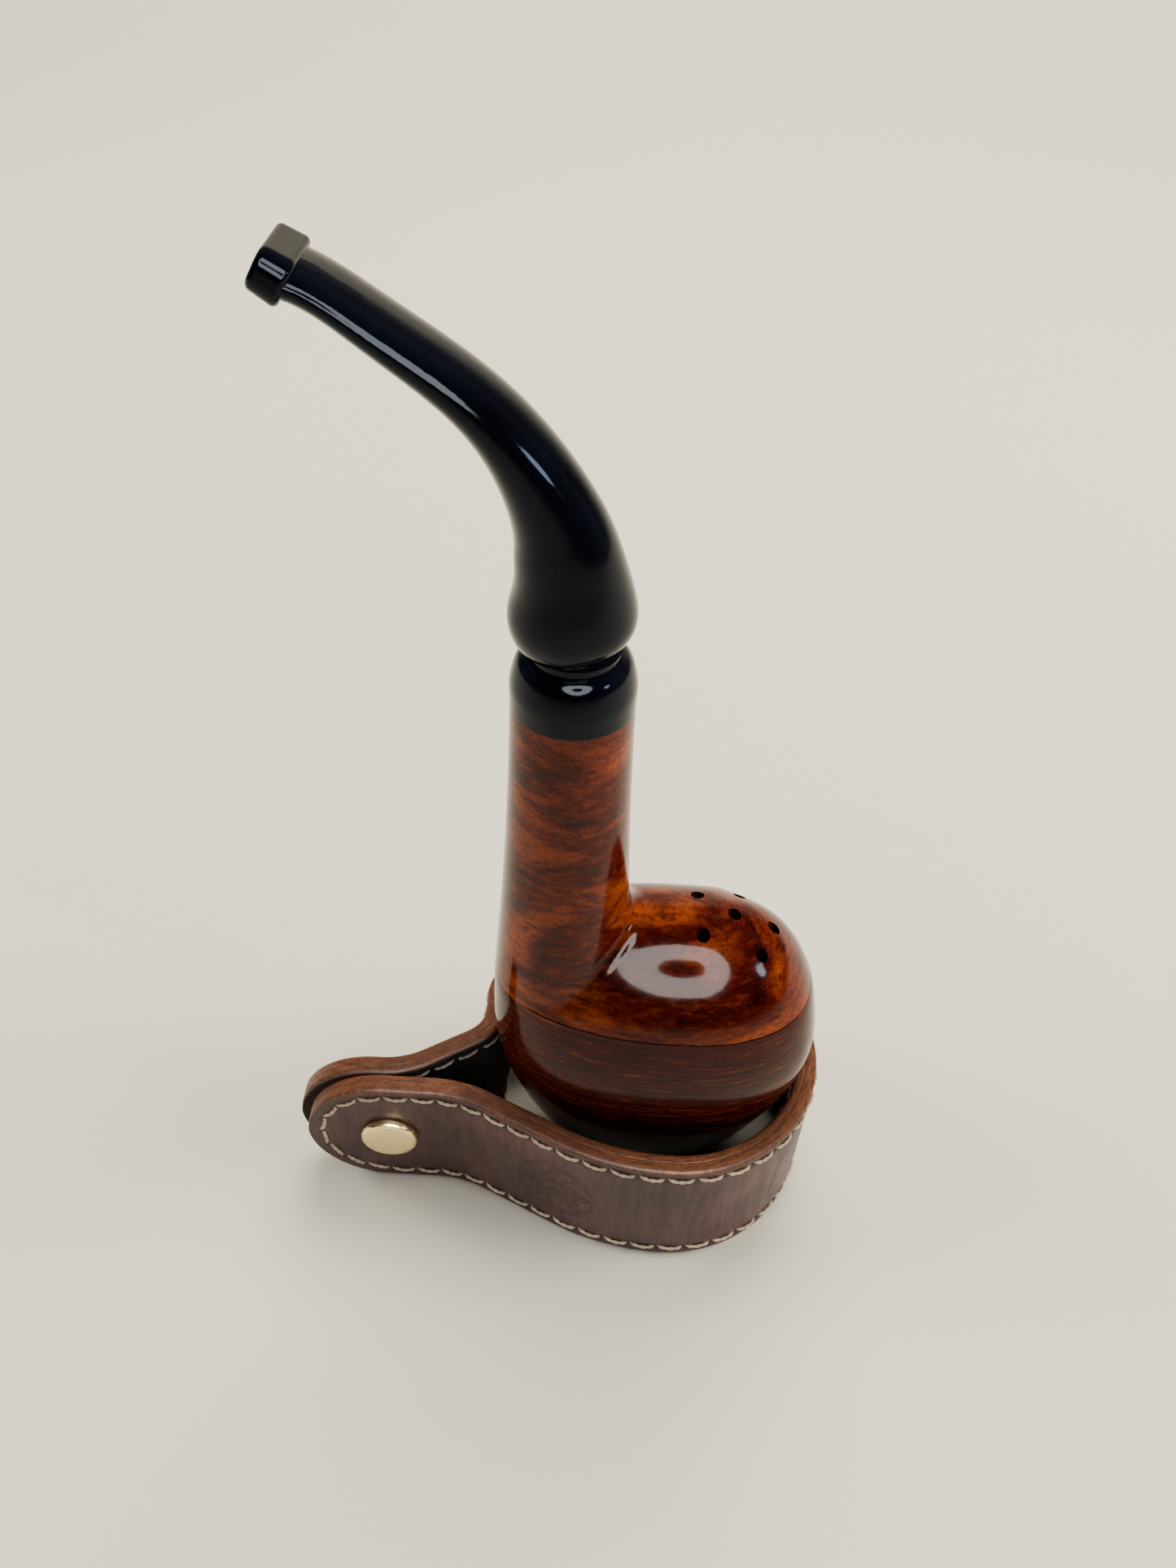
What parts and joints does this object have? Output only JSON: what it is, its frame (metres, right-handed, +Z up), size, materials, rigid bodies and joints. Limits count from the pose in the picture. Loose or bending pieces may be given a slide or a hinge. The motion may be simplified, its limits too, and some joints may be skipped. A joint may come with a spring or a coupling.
{
  "type": "smoking pipe in leather stand",
  "caption": "Bent pipe with a closed, perforated swivelling bowl and curved mouthpiece, standing in a riveted loop of stitched leather.",
  "frame": {"origin": "centre of the footprint of the whole object on the surface it stands on", "axes": "+Z up along the pipe's upright shank; +X from the shank towards the bowl, in the plane of the bent stem; the stem and the strap's tail point to -X; the rivet's cap faces -Y"},
  "size_m": [0.087, 0.05, 0.1532],
  "materials": {
    "briar_upper": "polished reddish briar with orange figure",
    "briar_lower": "polished dark briar with fine straight grain",
    "black_acrylic": "polished black",
    "tenon_plastic": "satin black",
    "strap_leather": "satin dark brown, orange-brown burnished edge",
    "lining_leather": "matte dark brown flesh side",
    "waxed_thread": "twisted waxed thread",
    "polished_brass": "polished, lightly scratched",
    "brass_inside": "machined",
    "spring_steel": "plain spring steel",
    "fibre": "red vulcanised fibre",
    "filter_paper": "white filter paper",
    "filter_caps": "white unglazed",
    "charcoal": "granular black"
  },
  "bodies": {
    "stand": {"strap_outer": "strap_leather", "strap_lining": "lining_leather", "stitching": "waxed_thread", "rivet_cap": "polished_brass", "rivet_back": "polished_brass"},
    "bowl_lower": {"bowl_base": "briar_lower", "pivot_bush": "brass_inside", "pivot_washer": "fibre"},
    "bowl_upper": {"bowl_cap": "briar_upper", "shank_ring": "black_acrylic", "pivot_tube": "brass_inside", "spring_washer": "spring_steel", "pivot_nut": "brass_inside"},
    "filter": {"filter_tube": "filter_paper", "filter_cap_lower": "filter_caps", "filter_cap_upper": "filter_caps", "filter_charcoal": "charcoal"},
    "mouthpiece": {"stem": "black_acrylic", "stem_tenon": "tenon_plastic"}
  },
  "joints": [
    {"name": "pipe_lift", "type": "slide", "parent": "stand", "child": "bowl_lower", "axis": [0, 0, 1], "range_m": [0, 0.045]},
    {"name": "bowl_swivel", "type": "hinge", "parent": "bowl_lower", "child": "bowl_upper", "pos_m": [-0.00043, 0, 0.046], "axis": [0, 0, 1], "range_deg": [-150, 150]},
    {"name": "stem_pull", "type": "slide", "parent": "bowl_upper", "child": "filter", "axis": [0, 0, 1], "range_m": [0, 0.026]},
    {"name": "stem_twist", "type": "hinge", "parent": "filter", "child": "mouthpiece", "pos_m": [-0.00043, 0, 0.101], "axis": [0, 0, 1], "continuous": true}
  ]
}
